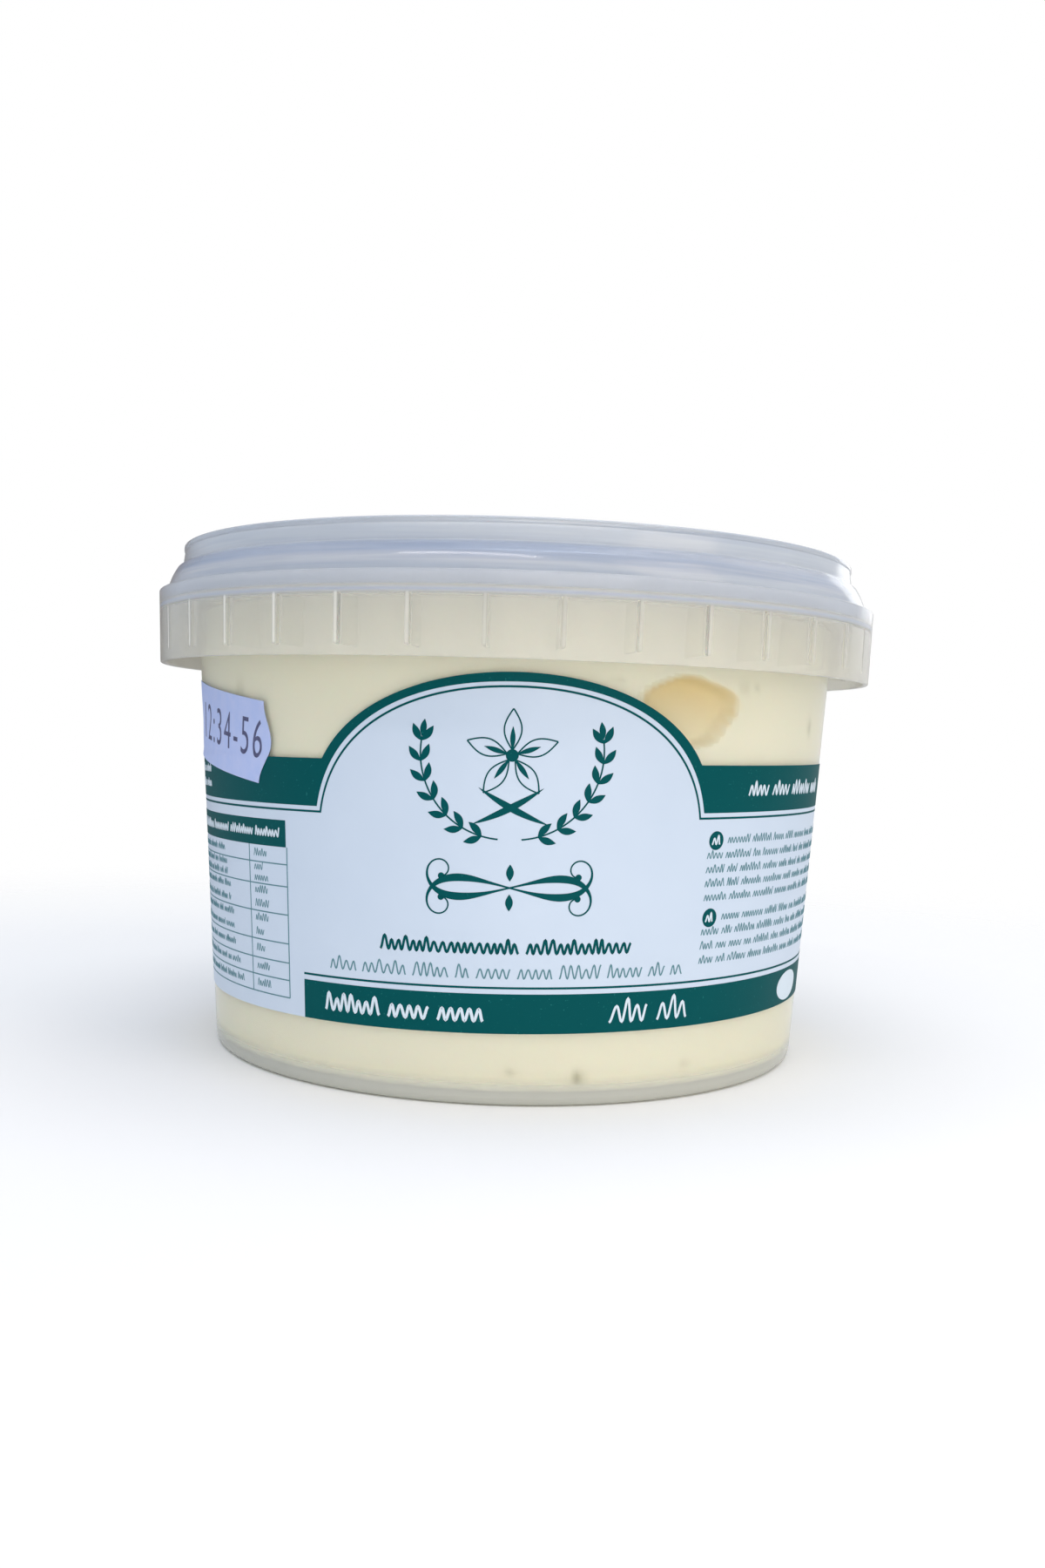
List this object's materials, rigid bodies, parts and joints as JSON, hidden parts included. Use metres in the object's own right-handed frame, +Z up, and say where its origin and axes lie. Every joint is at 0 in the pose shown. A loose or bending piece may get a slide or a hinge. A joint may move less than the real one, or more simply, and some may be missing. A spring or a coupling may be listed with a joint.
{
  "type": "ice cream tub",
  "caption": "Shut round tapered plastic tub of vanilla ice cream with a ribbed collar, a press-on ring lid, an arched wrap label and a small date sticker.",
  "frame": {"origin": "centre of the base, on the surface that the tub stands on", "axes": "+Z up, along the tub's axis; -Y towards the front, where the arch of the label is; +X to the right seen from the front"},
  "size_m": [0.1186, 0.1186, 0.08],
  "materials": {
    "tub_polypropylene": "clear polypropylene, moulded, slightly milky",
    "lid_polypropylene": "milky natural polypropylene, moulded",
    "vanilla_ice_cream": "smooth set vanilla ice cream",
    "label_paper": "coated self-adhesive label, printed in dark green",
    "sticker_paper": "matt price-gun sticker paper with printed digits"
  },
  "bodies": {
    "root": {"tub": "tub_polypropylene", "lid": "lid_polypropylene", "ice_cream": "vanilla_ice_cream", "label": "label_paper", "date_sticker": "sticker_paper"}
  },
  "joints": []
}
